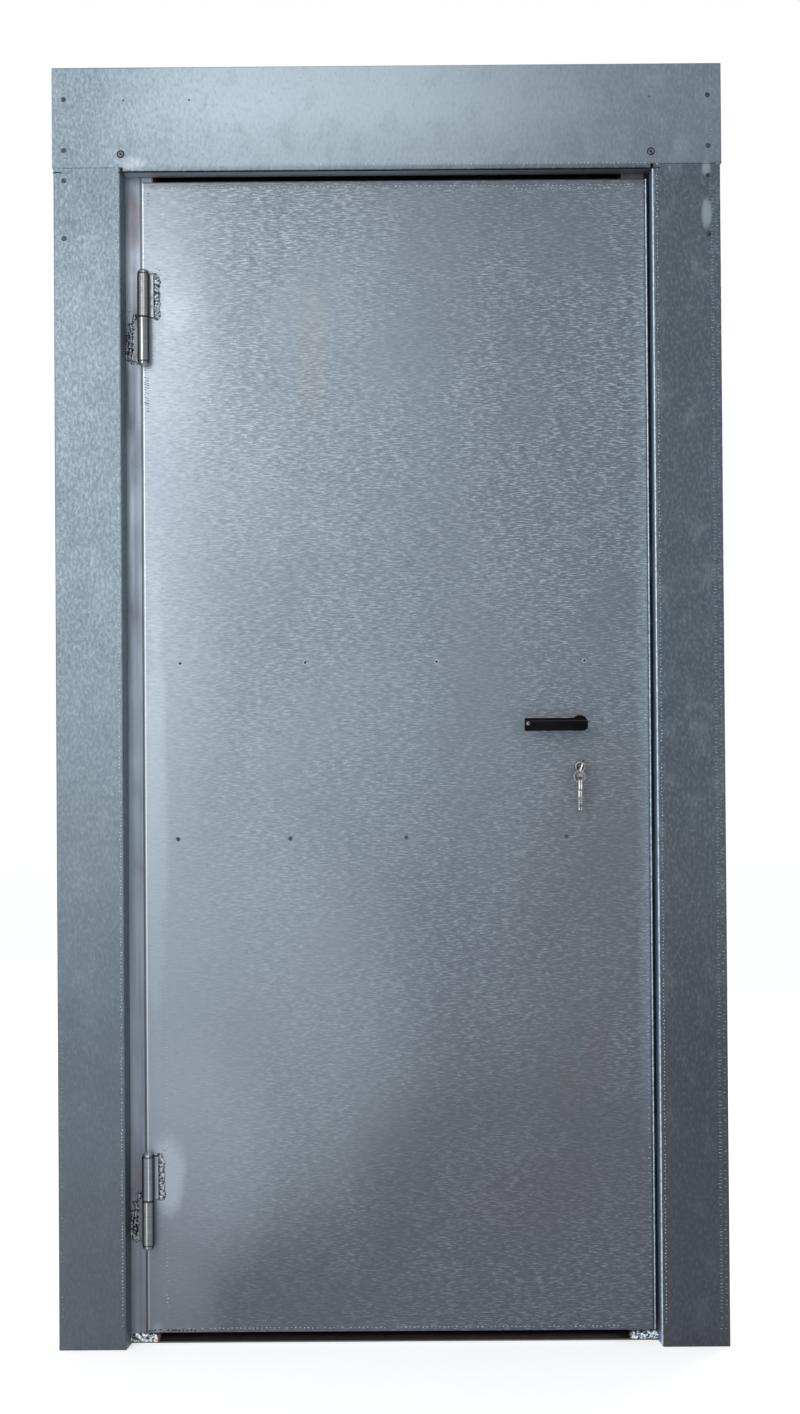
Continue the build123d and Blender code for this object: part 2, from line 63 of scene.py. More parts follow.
class Recipe:
    """A material's node tree, with short calls for the nodes that the finishes share."""

    def __init__(self, name, roughness=0.5, metallic=0.0):
        self.material = bpy.data.materials.new(name)
        self.material.use_nodes = True
        self.tree = self.material.node_tree
        self.shader = self.tree.nodes["Principled BSDF"]
        self.shader.inputs["Roughness"].default_value = roughness
        self.shader.inputs["Metallic"].default_value = metallic
        self.place = self.tree.nodes.new("ShaderNodeTexCoord").outputs["Object"]
        self.bump = None

    def feed(self, socket, value):
        """Link an output to a socket, or set the socket to a plain value."""
        if isinstance(value, bpy.types.NodeSocket):
            self.tree.links.new(value, socket)
        else:
            socket.default_value = value

    def mapped(self, scale, turn=(0.0, 0.0, 0.0)):
        """The piece's own coordinates, turned and scaled for a pattern."""
        node = self.tree.nodes.new("ShaderNodeMapping")
        self.feed(node.inputs["Vector"], self.place)
        node.inputs["Rotation"].default_value = turn
        node.inputs["Scale"].default_value = scale
        return node.outputs["Vector"]

    def noise(self, scale, detail=3.0, rough=0.55, distortion=0.0, turn=(0.0, 0.0, 0.0)):
        """Cloudy pattern from 0 to 1; scale is its waves per metre along X, Y and Z."""
        node = self.tree.nodes.new("ShaderNodeTexNoise")
        self.feed(node.inputs["Vector"], self.mapped(scale, turn))
        node.inputs["Scale"].default_value = 1.0
        node.inputs["Detail"].default_value = detail
        node.inputs["Roughness"].default_value = rough
        node.inputs["Distortion"].default_value = distortion
        return node.outputs["Fac"]

    def ramp(self, value, low, high, start=0.0, end=1.0):
        """Map value from low..high to start..end, smoothly and clamped."""
        node = self.tree.nodes.new("ShaderNodeMapRange")
        node.interpolation_type = "SMOOTHSTEP"
        self.feed(node.inputs["Value"], value)
        node.inputs["From Min"].default_value = low
        node.inputs["From Max"].default_value = high
        node.inputs["To Min"].default_value = start
        node.inputs["To Max"].default_value = end
        return node.outputs["Result"]

    def math(self, kind, a, b=0.0):
        node = self.tree.nodes.new("ShaderNodeMath")
        node.operation = kind
        self.feed(node.inputs[0], a)
        self.feed(node.inputs[1], b)
        return node.outputs[0]

    def axis(self, name):
        """The place along X, Y or Z, in metres."""
        node = self.tree.nodes.new("ShaderNodeSeparateXYZ")
        self.feed(node.inputs[0], self.place)
        return node.outputs[name]

    def facing(self, name):
        """How far the surface looks along an axis, from -1 to 1."""
        node = self.tree.nodes.new("ShaderNodeSeparateXYZ")
        coordinates = self.tree.nodes.new("ShaderNodeTexCoord")
        self.feed(node.inputs[0], coordinates.outputs["Normal"])
        return node.outputs[name]

    def band(self, value, centre, reach, soft, strength=1.0):
        """Strength within reach of centre, fading over soft."""
        off = self.math("ABSOLUTE", self.math("SUBTRACT", value, centre))
        return self.ramp(off, reach + soft, reach, 0.0, strength)

    def mix(self, factor, a, b):
        """Colour a where factor is 0 and b where it is 1."""
        node = self.tree.nodes.new("ShaderNodeMix")
        node.data_type = "RGBA"
        self.feed(node.inputs["Factor"], factor)
        self.feed(node.inputs[6], a)
        self.feed(node.inputs[7], b)
        return node.outputs[2]

    def raise_by(self, height, distance, strength=1.0):
        """Add a bump of this height pattern to what is already there."""
        node = self.tree.nodes.new("ShaderNodeBump")
        self.feed(node.inputs["Height"], height)
        node.inputs["Distance"].default_value = distance
        node.inputs["Strength"].default_value = strength
        if self.bump:
            self.feed(node.inputs["Normal"], self.bump)
        self.bump = node.outputs["Normal"]

    def done(self, colour, roughness):
        """Feed the finished patterns to the shader and return the material."""
        self.feed(self.shader.inputs["Base Color"], colour)
        self.feed(self.shader.inputs["Roughness"], roughness)
        if self.bump:
            self.feed(self.shader.inputs["Normal"], self.bump)
        return self.material


def oval(recipe, x, z, width, height):
    """0 at the centre of an upright oval and 1 on its rim."""
    dx = recipe.math("DIVIDE", recipe.math("SUBTRACT", recipe.axis("X"), x), width)
    dz = recipe.math("DIVIDE", recipe.math("SUBTRACT", recipe.axis("Z"), z), height)
    return recipe.math("ADD", recipe.math("MULTIPLY", dx, dx), recipe.math("MULTIPLY", dz, dz))


def wandering_tint(recipe, colour, x, z, width, height, strength, tint):
    """Tint an oval with a wandering edge."""
    wander = recipe.ramp(recipe.noise((9.0, 9.0, 5.0), 4.0), 0.3, 0.7, -0.35, 0.35)
    reach = recipe.math("ADD", oval(recipe, x, z, width, height), wander)
    return recipe.mix(recipe.ramp(reach, 1.0, 0.0, 0.0, strength), colour, tint)


def patch(recipe, colour, x, z, width, height, strength, tint):
    """Tint a soft oval on the front only."""
    front = recipe.ramp(recipe.facing("Y"), -0.2, -0.6)
    share = recipe.ramp(oval(recipe, x, z, width, height), 1.0, 0.0, 0.0, strength)
    return recipe.mix(recipe.math("MULTIPLY", front, share), colour, tint)


def touched(recipe, colour, *touches):
    """Lay tinted ovals over one another: real stains, painted light and painted shade; each is its
    kind, place, size and tint.
    """
    for paint, *touch in touches:
        colour = paint(recipe, colour, *touch)
    return colour


def leaf_zinc():
    """Galvanised sheet with short wavy streaks across it; painted shade darkens it to the right,
    towards the foot and near the top, and painted light and highlights brighten the hinge side.
    """
    r = Recipe("leaf_zinc", 0.4, 0.6)
    cloud = r.noise((3.2, 3.2, 2.2), 4.0)
    colour = r.mix(r.ramp(cloud, 0.3, 0.7), srgb(120, 131, 142), srgb(132, 144, 155))
    # Painted light and shade: darker to the right, towards the foot and near the top, lighter at
    # the hinge side.
    colour = r.mix(r.ramp(r.axis("X"), -0.30, 0.46, 0.0, 0.78), colour, srgb(90, 99, 109))
    colour = r.mix(r.ramp(r.axis("X"), -0.24, -0.42, 0.0, 0.42), colour, srgb(170, 184, 194))
    colour = r.mix(r.ramp(r.axis("Z"), 1.05, 0.15, 0.0, 0.78), colour, srgb(76, 79, 88))
    colour = r.mix(r.ramp(r.axis("Z"), 1.7, 1.95, 0.0, 0.35), colour, srgb(102, 110, 120))
    # Painted highlights: soft glows beside both hinges and a pale strip along the hinge edge.
    colour = touched(
        r, colour,
        (patch, -0.37, 1.66, 0.10, 0.20, 0.25, srgb(196, 206, 214)),
        (patch, -0.34, 0.30, 0.18, 0.26, 0.3, srgb(160, 170, 182)),
        (wandering_tint, -0.372, 0.290, 0.036, 0.078, 0.55, srgb(184, 193, 206)),
        (wandering_tint, -0.390, 0.90, 0.022, 0.60, 0.16, srgb(206, 217, 227)),
    )
    # Painted light: a pale bluish glow along the right edge around mid height.
    painted_edge_light = r.band(r.axis("Z"), 1.1, 0.45, 0.5, 0.3)
    painted_edge_light = r.math("MULTIPLY", painted_edge_light, r.ramp(r.axis("X"), 0.402, 0.426))
    colour = r.mix(painted_edge_light, colour, srgb(150, 174, 192))
    # Painted light and shade: a lighter wash over the lower left, a painted highlight beside the
    # upper hinge, a pale spot and a lighter patch at the foot on the hinge side, and painted shade
    # over the upper left.
    colour = touched(
        r, colour,
        (patch, -0.24, 0.52, 0.36, 0.42, 0.42, srgb(150, 162, 172)),
        (patch, -0.352, 1.708, 0.034, 0.045, 0.28, srgb(206, 216, 224)),
        (wandering_tint, -0.391, 0.027, 0.014, 0.018, 0.32, srgb(176, 190, 200)),
        (patch, -0.36, 0.06, 0.09, 0.10, 0.3, srgb(136, 144, 156)),
        (patch, -0.36, 1.60, 0.13, 0.36, 0.35, srgb(140, 152, 163)),
    )
    streak = r.noise((85.0, 85.0, 620.0), 3.0, 0.55, 0.5, (0.0, 0.05, 0.0))
    field = r.ramp(r.noise((5.0, 5.0, 4.0), 3.0), 0.3, 0.6, 0.35, 1.0)
    side = r.ramp(r.axis("X"), -0.40, -0.20, 0.3, 1.0)
    high = r.ramp(r.axis("Z"), 0.2, 1.7, 0.4, 1.0)
    power = r.math("MULTIPLY", r.math("MULTIPLY", field, side), high)
    bright = r.math("MULTIPLY", r.ramp(streak, 0.50, 0.64), power)
    dark = r.math("MULTIPLY", r.ramp(streak, 0.48, 0.32), power)
    colour = r.mix(r.math("MULTIPLY", bright, 0.56), colour, srgb(184, 196, 205))
    colour = r.mix(r.math("MULTIPLY", dark, 0.4), colour, srgb(70, 78, 88))
    # Brownish stains.
    colour = touched(
        r, colour,
        (wandering_tint, -0.125, 1.60, 0.03, 0.18, 0.16, srgb(150, 142, 112)),
        (wandering_tint, 0.33, 0.70, 0.16, 0.34, 0.24, srgb(100, 90, 84)),
        (wandering_tint, 0.18, 0.30, 0.34, 0.20, 0.18, srgb(92, 84, 80)),
    )
    left, top = LEAF_EDGES[0] * MM, LEAF_EDGES[3] * MM
    # Painted shade: a darker band along the top edge, under the head casing.
    colour = r.mix(r.band(r.axis("Z"), top, 0.008, 0.006, 0.4), colour, srgb(92, 84, 90))
    # Painted highlight along the folded left edge, weaker towards the foot.
    edge = r.band(r.axis("X"), left, 0.0025, 0.002)
    edge = r.math("MULTIPLY", edge, r.ramp(r.axis("Z"), 0.1, 0.7, 0.3, 0.8))
    colour = r.mix(edge, colour, srgb(216, 224, 230))
    grain = r.noise((260.0, 260.0, 620.0), 2.0)
    r.raise_by(r.math("MULTIPLY", streak, power), 0.0006, 0.5)
    r.raise_by(grain, 0.00012, 0.25)
    r.raise_by(r.noise((2.6, 2.6, 1.6), 2.0), 0.004, 0.35)
    return r.done(colour, r.ramp(streak, 0.3, 0.75, 0.5, 0.34))


def casing_zinc():
    """Galvanised sheet with a fine cloudy mottle; painted shade darkens it to the right, near the
    ground and under the head's front edge, and painted light and shade mark the head, its
    underside and the right return.
    """
    r = Recipe("casing_zinc", 0.42, 0.55)
    cloud = r.noise((4.0, 4.0, 3.0), 4.0)
    colour = r.mix(r.ramp(cloud, 0.3, 0.7), srgb(104, 119, 130), srgb(118, 134, 145))
    # Painted shade: darker to the right, near the ground and in the lower right corner.
    colour = r.mix(r.ramp(r.axis("X"), -0.30, 0.50, 0.0, 0.9), colour, srgb(68, 78, 88))
    colour = r.mix(r.ramp(r.axis("Z"), 1.25, 0.10, 0.0, 0.72), colour, srgb(70, 74, 83))
    corner = r.math("MULTIPLY", r.ramp(r.axis("X"), 0.3, 0.5), r.ramp(r.axis("Z"), 0.85, 0.4))
    colour = r.mix(r.math("MULTIPLY", corner, 0.6), colour, srgb(54, 56, 62))
    # Painted light and shade on the head: lighter to the left and at its top, darker to the right
    # and lower down.
    head = r.ramp(r.axis("Z"), 1.94, 1.95)
    glow = r.mix(r.ramp(r.axis("X"), -0.05, 0.50), srgb(168, 184, 195), srgb(112, 126, 138))
    glow = r.mix(r.ramp(r.axis("Z"), 2.05, 1.95, 0.0, 0.35), glow, srgb(104, 116, 128))
    glow_share = r.math("MULTIPLY", head, r.ramp(r.axis("X"), -0.55, -0.2, 0.1, 0.9))
    colour = r.mix(glow_share, colour, glow)
    # Painted highlight at the opening's upper left corner.
    colour = patch(r, colour, -0.418, 1.951, 0.026, 0.014, 0.28, srgb(206, 216, 224))
    front = CASING_FACE * MM
    # Painted shadow: a near-black line on the head's underside just behind its front edge.
    lip = r.band(r.axis("Z"), HEAD_FOOT * MM, 0.001, 0.001)
    lip = r.math("MULTIPLY", lip, r.band(r.axis("Y"), front + 0.004, 0.003, 0.001))
    colour = r.mix(lip, colour, srgb(16, 17, 20))
    # Painted light: the head's underside lighter, most at the left.
    under = r.ramp(r.facing("Z"), -0.4, -0.8)
    for limit in (
        r.ramp(r.axis("Z"), 1.930, 1.934),
        r.ramp(r.axis("X"), -0.1, 0.4, 0.75, 0.1),
        r.ramp(r.axis("Y"), front + 0.007, front + 0.010),
    ):
        under = r.math("MULTIPLY", under, limit)
    colour = r.mix(under, colour, srgb(196, 206, 216))
    # Painted light and shade on the right jamb's return below the head: pale at the front, darker
    # blue deeper in, with a dark line near the front.
    behind = r.ramp(r.axis("Y"), front + 0.014, front + 0.022)
    fold = r.mix(behind, srgb(176, 200, 216), srgb(108, 134, 164))
    fold = r.mix(r.band(r.axis("Y"), front + 0.005, 0.0012, 0.001, 0.7), fold, srgb(60, 72, 88))
    returns = r.ramp(r.axis("Y"), front + 0.001, front + 0.003)
    returns = r.math("MULTIPLY", returns, r.band(r.axis("X"), 0.438, 0.0025, 0.001))
    colour = r.mix(r.math("MULTIPLY", returns, r.ramp(r.axis("Z"), 1.940, 1.937)), colour, fold)
    mottle = r.noise((230.0, 230.0, 120.0), 3.0, 0.6, 0.4)
    flake = r.noise((26.0, 26.0, 18.0), 3.0, 0.6, 0.3)
    lively = r.ramp(r.axis("Z"), 0.2, 1.1, 0.35, 1.0)
    for pattern, low, high, strength, tint in (
        (mottle, 0.45, 0.7, 0.14, srgb(176, 190, 199)),
        (mottle, 0.5, 0.28, 0.12, srgb(60, 70, 80)),
        (flake, 0.5, 0.75, 0.14, srgb(160, 174, 184)),
        (flake, 0.5, 0.3, 0.14, srgb(74, 84, 94)),
    ):
        share = r.math("MULTIPLY", r.ramp(pattern, low, high, 0.0, strength), lively)
        colour = r.mix(share, colour, tint)
    for z, height in ((1.935, 0.016), (1.862, 0.030)):
        colour = wandering_tint(r, colour, 0.527, z, 0.010, height, 0.4, srgb(180, 194, 202))
    r.raise_by(mottle, 0.0004, 0.2)
    r.raise_by(r.noise((2.4, 2.4, 1.8), 2.0), 0.004, 0.3)
    return r.done(colour, r.ramp(mottle, 0.3, 0.7, 0.52, 0.38))


def stile_steel():
    """Bare rolled steel with a lilac tint, upright drawing marks and rust at its foot; painted
    shade darkens it to the right, beside the leaf and in the upper corner by the casing, and a
    painted highlight crosses it high up.
    """
    r = Recipe("stile_steel", 0.4, 0.6)
    marks = r.noise((150.0, 150.0, 3.0), 3.0)
    colour = r.mix(r.ramp(marks, 0.3, 0.7), srgb(124, 134, 147), srgb(148, 159, 172))
    colour = r.mix(r.ramp(r.axis("Z"), 0.5, 0.1, 0.0, 0.4), colour, srgb(120, 112, 120))
    # Painted shade: darker to the right.
    colour = r.mix(r.ramp(r.axis("X"), -0.2, 0.2, 0.0, 0.7), colour, srgb(66, 74, 86))
    # Painted highlight: a pale band across the stiles high up.
    colour = r.mix(r.band(r.axis("Z"), 1.79, 0.05, 0.07, 0.35), colour, srgb(196, 206, 216))
    # Painted shade: a dimmer strip on the hinge stile's front near the leaf's edge.
    front = r.ramp(r.facing("Y"), -0.2, -0.6)
    dim = r.math("MULTIPLY", front, r.band(r.axis("X"), -0.417, 0.005, 0.006, 0.4))
    colour = r.mix(dim, colour, srgb(92, 104, 116))
    shadow = r.math("MULTIPLY", front, r.band(r.axis("X"), -0.4108, 0.001, 0.001, 0.7))
    colour = r.mix(shadow, colour, srgb(40, 42, 48))
    # Painted shade: a near-black strip on the lock stile's front, in the gap beside the leaf.
    gap_shade = r.math("MULTIPLY", front, r.ramp(r.axis("X"), 0.426, 0.430))
    colour = r.mix(gap_shade, colour, srgb(14, 14, 16))
    blots = r.noise((26.0, 26.0, 9.0), 4.0)
    colour = r.mix(r.ramp(blots, 0.56, 0.75, 0.0, 0.5), colour, srgb(112, 104, 104))
    rust = srgb(96, 62, 42)
    colour = touched(
        r, colour,
        # The first is painted shade in the upper corner beside the casing.
        (wandering_tint, -0.425, 1.86, 0.02, 0.07, 0.55, srgb(88, 76, 74)),
        (wandering_tint, -0.430, 1.57, 0.013, 0.08, 0.6, srgb(70, 76, 84)),
        (wandering_tint, -0.390, 0.02, 0.03, 0.035, 0.8, rust),
        (wandering_tint, 0.440, 0.02, 0.02, 0.03, 0.8, rust),
    )
    r.raise_by(marks, 0.0003, 0.3)
    return r.done(colour, r.ramp(blots, 0.3, 0.7, 0.34, 0.55))


def angle_steel():
    """Dull rolled angle, painted near black for the shade it sits in, paler on its back faces and
    along its foot, and lightly rusted.
    """
    r = Recipe("angle_steel", 0.6, 0.1)
    r.shader.inputs["Specular IOR Level"].default_value = 0.1
    rust = r.noise((30.0, 30.0, 30.0), 5.0, 0.65)
    # Painted shade: near black except on the back faces.
    colour = r.mix(r.ramp(rust, 0.3, 0.7), srgb(15, 14, 15), srgb(28, 26, 26))
    colour = r.mix(r.ramp(rust, 0.6, 0.72, 0.0, 0.8), colour, srgb(48, 32, 24))
    foot_edge = r.ramp(r.axis("Z"), 0.003, 0.0012, 0.0, 0.8)
    colour = r.mix(foot_edge, colour, srgb(150, 146, 144))
    behind = r.mix(rust, srgb(84, 86, 92), srgb(112, 114, 120))
    colour = r.mix(r.ramp(r.facing("Y"), 0.2, 0.6), colour, behind)
    r.raise_by(rust, 0.0004, 0.5)
    return r.done(colour, r.ramp(rust, 0.3, 0.7, 0.5, 0.75))


def tube_steel():
    """Rolled tube with faint lengthways marks and blue-grey mill scale."""
    r = Recipe("tube_steel", 0.45, 0.5)
    marks = r.noise((60.0, 60.0, 60.0), 4.0)
    scale = r.noise((7.0, 7.0, 7.0), 4.0)
    colour = r.mix(r.ramp(marks, 0.3, 0.7), srgb(112, 117, 125), srgb(126, 131, 139))
    colour = r.mix(r.ramp(scale, 0.5, 0.72, 0.0, 0.4), colour, srgb(98, 100, 107))
    r.raise_by(marks, 0.0003, 0.35)
    return r.done(colour, r.ramp(scale, 0.3, 0.7, 0.38, 0.58))


def turned_steel(name, light, dark, plate, roughness, glint, rings_at):
    """Polished barrel with painted shade on its flanks, a painted highlight streak where its side
    looks towards glint, painted light on its domed caps, crimped rings at these heights and dull
    blots; plate is the tone of its welded wing."""
    r = Recipe(name, roughness, 0.85)
    rings = r.noise((20.0, 20.0, 500.0), 2.0)
    blots = r.noise((70.0, 70.0, 70.0), 4.0)
    colour = r.mix(r.ramp(rings, 0.3, 0.7), dark, light)
    # Painted shade on the flanks that look aside.
    across = r.facing("X")
    flank = r.ramp(r.math("ABSOLUTE", across), 0.5, 1.0, 0.0, 0.85)
    colour = r.mix(flank, colour, srgb(30, 32, 36))
    # Painted highlight: a bright streak where the side looks towards glint.
    colour = r.mix(r.band(across, glint, 0.045, 0.08, 0.8), colour, srgb(206, 211, 215))
    aside = r.math("ABSOLUTE", r.math("SUBTRACT", r.axis("X"), HINGE_X))
    colour = r.mix(r.ramp(aside, BARREL_REACH, BARREL_REACH + 0.0004, 0.0, 0.85), colour, plate)
    # Painted light: the domed caps lighter.
    cap = r.ramp(r.math("ABSOLUTE", r.facing("Z")), 0.3, 0.7, 0.0, 0.7)
    colour = r.mix(cap, colour, srgb(186, 190, 194))
    colour = r.mix(r.ramp(blots, 0.58, 0.75, 0.0, 0.5), colour, srgb(62, 60, 62))
    for z in rings_at:
        colour = r.mix(r.band(r.axis("Z"), z, 0.0007, 0.0006, 0.85), colour, srgb(28, 28, 30))
    r.raise_by(rings, 0.0001, 0.2)
    return r.done(colour, r.ramp(blots, 0.3, 0.7, roughness, roughness + 0.2))


def weld_metal(name, soot, bright, browned=()):
    """Uneven weld with blued and sooty places, browned where it ends beside the slot."""
    r = Recipe(name, 0.3, 0.85)
    heat = r.noise((230.0, 230.0, 230.0), 3.0)
    colour = r.mix(r.ramp(heat, 0.42, 0.58), soot, bright)
    scorch = r.ramp(r.noise((60.0, 60.0, 60.0), 3.0), 0.6, 0.7, 0.0, 0.6)
    colour = r.mix(scorch, colour, srgb(92, 70, 56))
    for x in browned:
        colour = r.mix(r.band(r.axis("X"), x, 0.005, 0.004, 0.85), colour, srgb(92, 58, 34))
    r.raise_by(r.noise((420.0, 420.0, 420.0), 3.0), 0.0008, 0.6)
    return r.done(colour, r.ramp(heat, 0.3, 0.7, 0.22, 0.5))


def pressed_steel(name, dark, light):
    """Small bright or darkened fastenings, uneven in tone."""
    r = Recipe(name, 0.4, 0.7)
    wear = r.noise((240.0, 240.0, 240.0), 3.0)
    r.raise_by(wear, 0.0001, 0.3)
    return r.done(r.mix(r.ramp(wear, 0.35, 0.65), dark, light), r.ramp(wear, 0.3, 0.7, 0.3, 0.5))


def black_lever():
    """Satin black coating with a fine grain, and the pale spot and painted highlight line of the
    outside.
    """
    r = Recipe("lever_black", 0.38)
    r.shader.inputs["Specular IOR Level"].default_value = 0.06
    grain = r.noise((900.0, 900.0, 900.0), 2.0)
    rub = r.noise((38.0, 38.0, 38.0), 4.0)
    colour = r.mix(r.ramp(rub, 0.35, 0.7), srgb(5, 5, 9), srgb(12, 12, 18))
    tip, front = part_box("outside_lever")[0][:2]
    outside = r.ramp(r.axis("Y"), front + 0.002, front + 0.001)
    spot_height, sheen_height = 1.0222, 1.0262
    for offset, radius, tint in (
        (0.0050, 0.0030, srgb(150, 150, 152)),
        (0.0062, 0.0012, srgb(8, 8, 10)),
    ):
        away = r.math("SQRT", oval(r, tip + offset, spot_height, 1.0, 1.0))
        disc = r.math("MULTIPLY", outside, r.ramp(away, radius + 0.0003, radius - 0.0003))
        colour = r.mix(disc, colour, tint)
    # Painted highlight: a grey line along the outside lever near its top.
    line = r.math("MULTIPLY", outside, r.band(r.axis("Z"), sheen_height, 0.0003, 0.0006, 0.35))
    colour = r.mix(line, colour, srgb(84, 86, 94))
    r.raise_by(grain, 0.00015, 0.3)
    return r.done(colour, r.ramp(rub, 0.3, 0.7, 0.3, 0.5))


def bright_plate(name, tone, dim, roughness):
    """Plated metal with fine scratches, and painted shade where it looks aside."""
    r = Recipe(name, roughness, 0.95)
    scratch = r.noise((700.0, 90.0, 260.0), 3.0)
    dull = r.noise((110.0, 110.0, 110.0), 4.0)
    colour = r.mix(r.ramp(dull, 0.35, 0.7), tone, dim)
    # Painted shade on the faces that look aside.
    side = r.math("ADD", r.facing("X"), r.facing("Z"))
    colour = r.mix(r.ramp(side, 0.25, 0.9, 0.0, 0.85), colour, srgb(34, 34, 38))
    colour = r.mix(r.ramp(side, -0.25, -0.9, 0.0, 0.4), colour, srgb(70, 70, 76))
    r.raise_by(scratch, 0.00008, 0.25)
    return r.done(colour, r.ramp(dull, 0.3, 0.7, roughness, roughness + 0.18))


class Growth:
    """A Geometry Nodes tree with named sizes, grown on points or along lines."""

    def __init__(self, name, **sizes):
        self.tree = bpy.data.node_groups.new(name, "GeometryNodeTree")
        self.tree.is_modifier = True
        self.tree.interface.new_socket("Guide", in_out="INPUT", socket_type="NodeSocketGeometry")
        for size, value in sizes.items():
            kind = {int: "Int", float: "Float", tuple: "Vector"}[type(value)]
            socket = self.tree.interface.new_socket(
                size, in_out="INPUT", socket_type="NodeSocket" + kind
            )
            socket.default_value = value
        self.tree.interface.new_socket("Result", in_out="OUTPUT", socket_type="NodeSocketGeometry")
        self.start = self.tree.nodes.new("NodeGroupInput")
        self.end = self.tree.nodes.new("NodeGroupOutput")

    def size(self, name):
        return self.start.outputs[name]

    def node(self, kind, inputs, output=0, **settings):
        """Add a node, feed its inputs by name or number, and return one output."""
        node = self.tree.nodes.new(kind)
        for key, value in settings.items():
            setattr(node, key, value)
        for key, value in inputs.items():
            if isinstance(value, bpy.types.NodeSocket):
                self.tree.links.new(value, node.inputs[key])
            else:
                node.inputs[key].default_value = value
        return node.outputs[output]

    def maths(self, kind, a, b):
        """Work out one number from two."""
        return self.node("ShaderNodeMath", {0: a, 1: b}, operation=kind)

    def vector(self, x, y, z):
        return self.node("ShaderNodeCombineXYZ", {0: x, 1: y, 2: z})

    def chance(self, low, high, seed):
        """A random number for each point, the same on every run."""
        return self.node(
            "FunctionNodeRandomValue", {2: low, 3: high, "Seed": seed}, 1, data_type="FLOAT")

    def scatter(self, low, high, seed):
        """A random shift for each point, the same on every run."""
        return self.node(
            "FunctionNodeRandomValue", {0: low, 1: high, "Seed": seed}, data_type="FLOAT_VECTOR")

    def frustum(self, sides, foot, top, height):
        """A tapered stub that stands on its foot."""
        return self.node(
            "GeometryNodeMeshCone",
            {"Vertices": sides, "Radius Top": top, "Radius Bottom": foot, "Depth": height},
        )

    def painted(self, geometry, material):
        return self.node("GeometryNodeSetMaterial", {"Geometry": geometry, "Material": material})

    def spaced(self, pitch):
        """Points along the guide's lines."""
        line = self.node("GeometryNodeMeshToCurve", {"Mesh": self.start.outputs[0]})
        return self.node(
            "GeometryNodeResampleCurve", {"Curve": line, "Length": pitch}, mode="LENGTH"
        )

    def planted(self, points, shape, turn, scale):
        """The shape on every point, turned and scaled."""
        turn = self.node("FunctionNodeEulerToRotation", {0: turn})
        return self.node(
            "GeometryNodeInstanceOnPoints",
            {"Points": points, "Instance": shape, "Rotation": turn, "Scale": scale},
        )

    def finish(self, instances, material=None):
        """Make the instances real and end the tree."""
        mesh = self.node("GeometryNodeRealizeInstances", {"Geometry": instances})
        if material:
            mesh = self.painted(mesh, material)
        self.tree.links.new(mesh, self.end.inputs[0])

    def grow(self, name, points, lines=(), **sizes):
        """Run the tree on these guide points and lines and keep the result as a mesh."""
        guide = bpy.data.meshes.new(name + "_guide")
        guide.from_pydata([Vector(p) * MM for p in points], list(lines), [])
        source = bpy.data.objects.new(name + "_guide", guide)
        bpy.context.scene.collection.objects.link(source)
        modifier = source.modifiers.new("growth", "NODES")
        modifier.node_group = self.tree
        for item in self.tree.interface.items_tree:
            if item.in_out == "INPUT" and item.name in sizes:
                modifier[item.identifier] = sizes[item.name]
        view = bpy.context.evaluated_depsgraph_get()
        mesh = bpy.data.meshes.new_from_object(source.evaluated_get(view), depsgraph=view)
        source.modifiers.remove(modifier)
        bpy.data.objects.remove(source)
        return mesh


def merged(name, body, slot, *meshes):
    """One piece on a body from several grown meshes."""
    box = bmesh.new()
    materials = []
    for mesh in meshes:
        start = len(box.faces)
        box.from_mesh(mesh)
        box.faces.ensure_lookup_table()
        for face in box.faces[start:]:
            material = mesh.materials[face.material_index]
            if material not in materials:
                materials.append(material)
            face.material_index = materials.index(material)
    whole = bpy.data.meshes.new(name)
    box.to_mesh(whole)
    box.free()
    for material in materials:
        whole.materials.append(material)
    piece = bpy.data.objects.new(name, whole)
    bpy.context.scene.collection.objects.link(piece)
    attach(piece, body)
    return piece


# Turns that stand a small piece out from the front or from the back
FRONT = (math.radians(90), 0.0, 0.0)
BACK = (math.radians(-90), 0.0, 0.0)


def corners(name):
    """Low and high corners of a CAD node, in millimetres."""
    return [Vector(corner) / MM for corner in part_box(name)]


# Faces and edges, in millimetres, that the small pieces sit on or follow
leaf_low, leaf_high = corners("leaf_sheet")
jamb_low, jamb_high = corners("right_jamb_casing")
LEAF_FACE = leaf_low.y
LEAF_EDGES = (leaf_low.x, leaf_high.x, leaf_low.z, leaf_high.z)
CASING_FACE = jamb_low.y
INNER_EDGE = jamb_low.x + 4.0
OUTER_EDGE = jamb_high.x
HEAD_FOOT = corners("head_casing")[0].z
STILE_FACE = corners("hinge_stile")[0].y

# Middle and half width of the hinge barrels, in metres
HINGE_X = sum(corner[0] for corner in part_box("upper_hinge_pin")) / 2
BARREL_REACH = 0.0100


